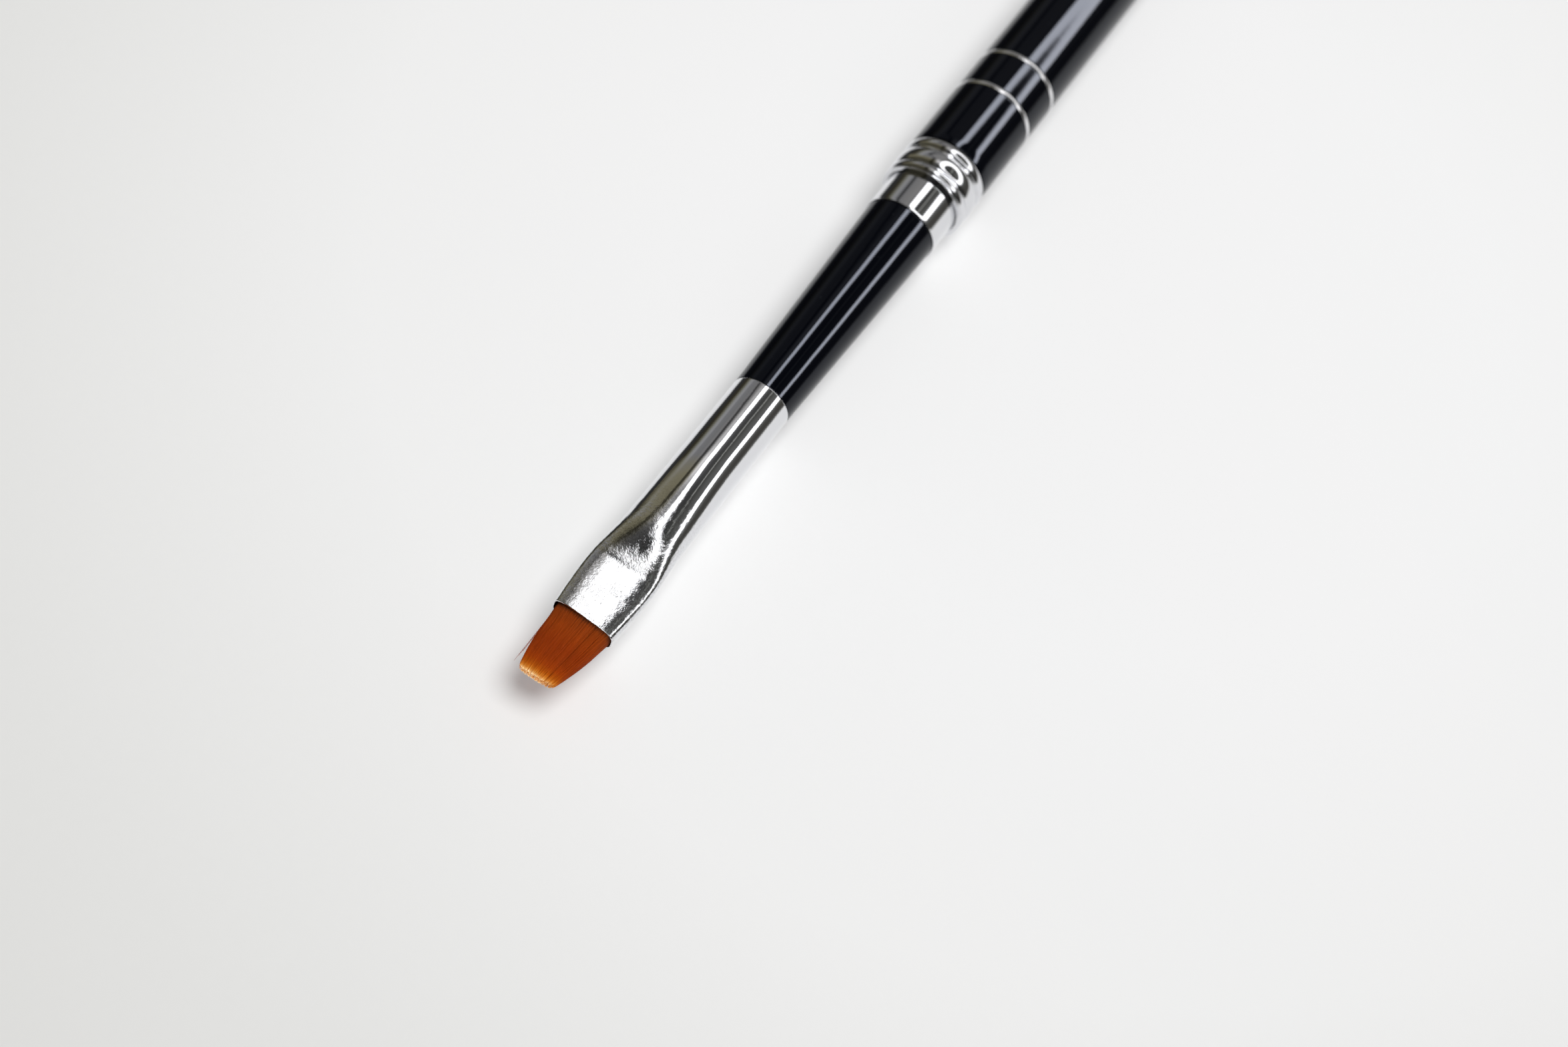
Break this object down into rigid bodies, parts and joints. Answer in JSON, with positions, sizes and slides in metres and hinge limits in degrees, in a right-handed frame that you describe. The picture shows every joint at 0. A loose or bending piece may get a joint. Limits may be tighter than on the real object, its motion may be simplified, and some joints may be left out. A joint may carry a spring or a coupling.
{
  "type": "acrylic nail brush",
  "caption": "Flat soft-hair nail brush whose crimped ferrule, tapered grip and plain neck plug into a hollow beaded barrel, pull out, and turn round for storage.",
  "frame": {"origin": "centre of the flat rear end, on the brush's axis", "axes": "+X along the axis to the hair's tip, +Z square to the flat of the hair, +Y across the hair's width"},
  "size_m": [0.172, 0.0084, 0.0084],
  "materials": {
    "hair": "soft brown hair with pale tips",
    "thread": "waxed thread",
    "glue": "clear amber",
    "ferrule_chrome": "polished plating, lightly pitted",
    "core_plastic": "matt",
    "grip_lacquer": "gloss black",
    "neck_chrome": "polished plating",
    "plug_plastic": "satin black",
    "ring_rubber": "matt",
    "collar_chrome": "polished plating",
    "barrel_lacquer": "gloss black",
    "band_metal": "polished",
    "end_plug_plastic": "matt",
    "cap_chrome": "polished plating"
  },
  "bodies": {
    "barrel": {"barrel_tube": "barrel_lacquer", "collar": "collar_chrome", "front_band": "band_metal", "rear_band": "band_metal", "end_plug": "end_plug_plastic", "end_cap": "cap_chrome"},
    "friction_ring": {"friction_ring": "ring_rubber"},
    "head": {"neck_sleeve": "neck_chrome", "neck_plug": "plug_plastic", "grip_core": "core_plastic", "grip_sleeve": "grip_lacquer", "ferrule": "ferrule_chrome", "hair_root": "hair", "root_binding": "thread", "root_glue": "glue"},
    "tuft": {"hair_tuft": "hair"}
  },
  "joints": [
    {"name": "head_pull", "type": "slide", "parent": "barrel", "child": "friction_ring", "axis": [1, 0, 0], "range_m": [0, 0.02]},
    {"name": "head_turn", "type": "hinge", "parent": "friction_ring", "child": "head", "pos_m": [0.1027, 0, 0], "axis": [1, 0, 0], "continuous": true},
    {"name": "tuft_bend", "type": "hinge", "parent": "head", "child": "tuft", "pos_m": [0.16585, 0, 0], "axis": [0, 1, 0], "range_deg": [-25, 25], "stiffness_Nm_per_rad": 0.00015}
  ]
}
